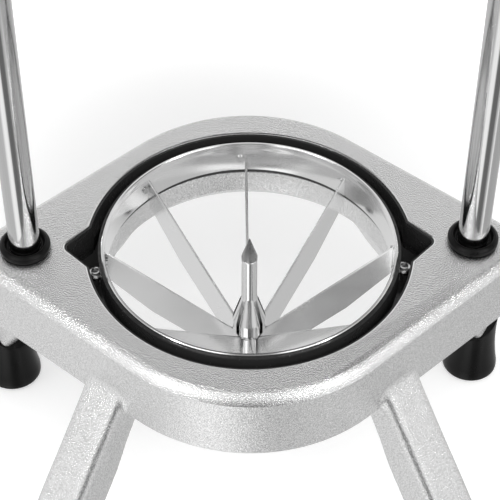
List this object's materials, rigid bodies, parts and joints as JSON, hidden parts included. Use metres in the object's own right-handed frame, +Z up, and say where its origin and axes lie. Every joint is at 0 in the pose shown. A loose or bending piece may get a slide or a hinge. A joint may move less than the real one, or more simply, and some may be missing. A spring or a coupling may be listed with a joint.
{
  "type": "apple slicer wedger press",
  "caption": "Countertop press that pushes an apple through a drop-in ring of radial blades and a coring post, with a fingered pusher sliding on two guide rods.",
  "frame": {"origin": "on the floor under the centre of the cutting ring", "axes": "+Z up, X through the two guide rods, the user stands at -Y"},
  "size_m": [0.444, 0.262, 0.4708],
  "materials": {
    "cast_aluminium": "bead-blasted casting, fine grain",
    "polished_steel": "ground and polished bar",
    "stainless_steel": "bright rolled stainless strip",
    "blade_steel": "thin satin stainless blade",
    "dark_steel": "ground steel point",
    "zinc_steel": "plated fastener",
    "black_rubber": "moulded rubber",
    "grip_rubber": "ribbed moulded grip",
    "black_plastic": "semi-gloss black",
    "bearing_plastic": "off-white bearing plastic",
    "pusher_plastic": "black moulded plastic"
  },
  "bodies": {
    "cartridge": {"blade_band": "stainless_steel", "blade_carrier": "black_plastic", "blade_front": "blade_steel", "blade_front_left": "blade_steel", "blade_front_right": "blade_steel", "blade_left": "blade_steel", "blade_rear": "blade_steel", "blade_rear_left": "blade_steel", "blade_rear_right": "blade_steel", "blade_right": "blade_steel", "blade_rivets": "stainless_steel", "carrier_screws": "zinc_steel", "coring_post": "stainless_steel", "coring_tip": "dark_steel"},
    "stand": {"bore_liner": "black_plastic", "bumper_left": "black_rubber", "bumper_right": "black_rubber", "foot_front_left": "black_rubber", "foot_front_right": "black_rubber", "foot_rear_left": "black_rubber", "foot_rear_right": "black_rubber", "guide_rod_left": "polished_steel", "guide_rod_right": "polished_steel", "leg_front_left": "cast_aluminium", "leg_front_right": "cast_aluminium", "leg_rear_left": "cast_aluminium", "leg_rear_right": "cast_aluminium", "platform_casting": "cast_aluminium", "rod_buffer_left": "black_rubber", "rod_buffer_right": "black_rubber", "rod_cap_left": "zinc_steel", "rod_cap_right": "zinc_steel", "rod_nuts": "zinc_steel", "rod_washers": "zinc_steel"},
    "carriage": {"bushing_left": "bearing_plastic", "bushing_right": "bearing_plastic", "carriage_casting": "cast_aluminium", "handle_bar_left": "polished_steel", "handle_bar_right": "polished_steel", "handle_grip_left": "grip_rubber", "handle_grip_right": "grip_rubber", "handle_nuts": "zinc_steel", "pusher_finger_1": "pusher_plastic", "pusher_finger_2": "pusher_plastic", "pusher_finger_3": "pusher_plastic", "pusher_finger_4": "pusher_plastic", "pusher_finger_5": "pusher_plastic", "pusher_finger_6": "pusher_plastic", "pusher_finger_7": "pusher_plastic", "pusher_finger_8": "pusher_plastic", "pusher_plate": "pusher_plastic", "pusher_screws": "zinc_steel"}
  },
  "joints": [
    {"name": "carriage_slide", "type": "slide", "parent": "stand", "child": "carriage", "axis": [0, 0, 1], "range_m": [-0.19, 0]},
    {"name": "cartridge_lift", "type": "slide", "parent": "stand", "child": "cartridge", "axis": [0, 0, 1], "range_m": [0, 0.022]}
  ]
}
